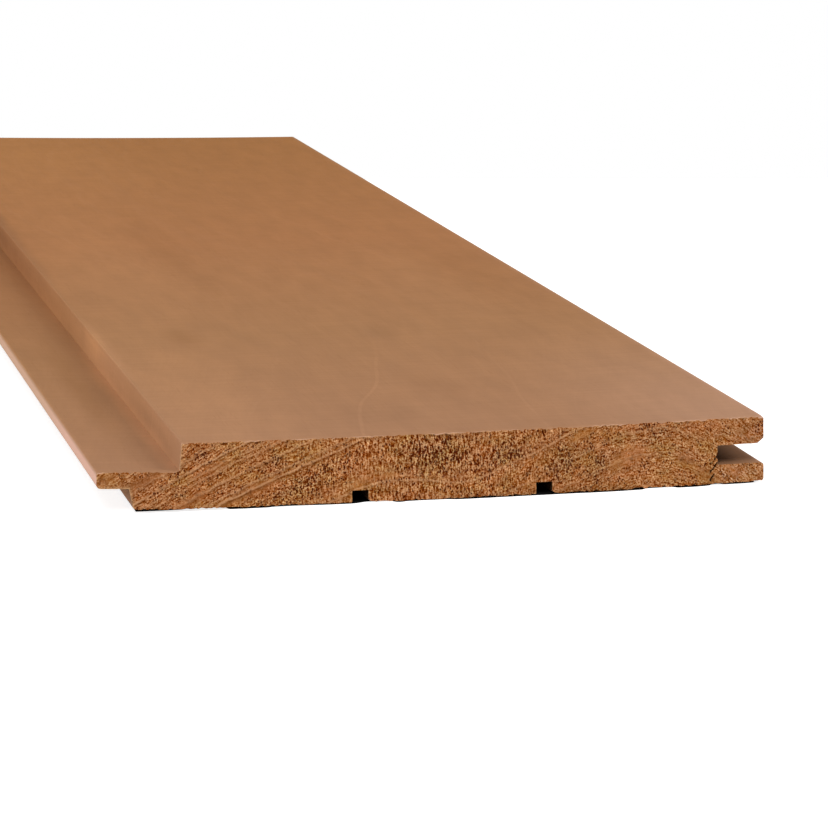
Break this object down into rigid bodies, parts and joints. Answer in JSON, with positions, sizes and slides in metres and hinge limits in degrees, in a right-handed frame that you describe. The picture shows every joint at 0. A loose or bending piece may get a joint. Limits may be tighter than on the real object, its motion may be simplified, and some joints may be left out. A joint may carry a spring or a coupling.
{
  "type": "tongue and groove board",
  "caption": "Flat cladding board with a tongue and an open channel along one edge, a groove along the other, and relief grooves in its back.",
  "frame": {"origin": "middle of the back, at half the length, on the plane that the board lies on", "axes": "+Y along the board, +X from the tongue edge to the groove edge, +Z out of the show face"},
  "size_m": [0.1842, 1.8, 0.018],
  "materials": {
    "timber": "planed, heat treated timber, satin on the long faces, sawn rough on the ends"
  },
  "bodies": {
    "root": {"board": "timber"}
  },
  "joints": []
}
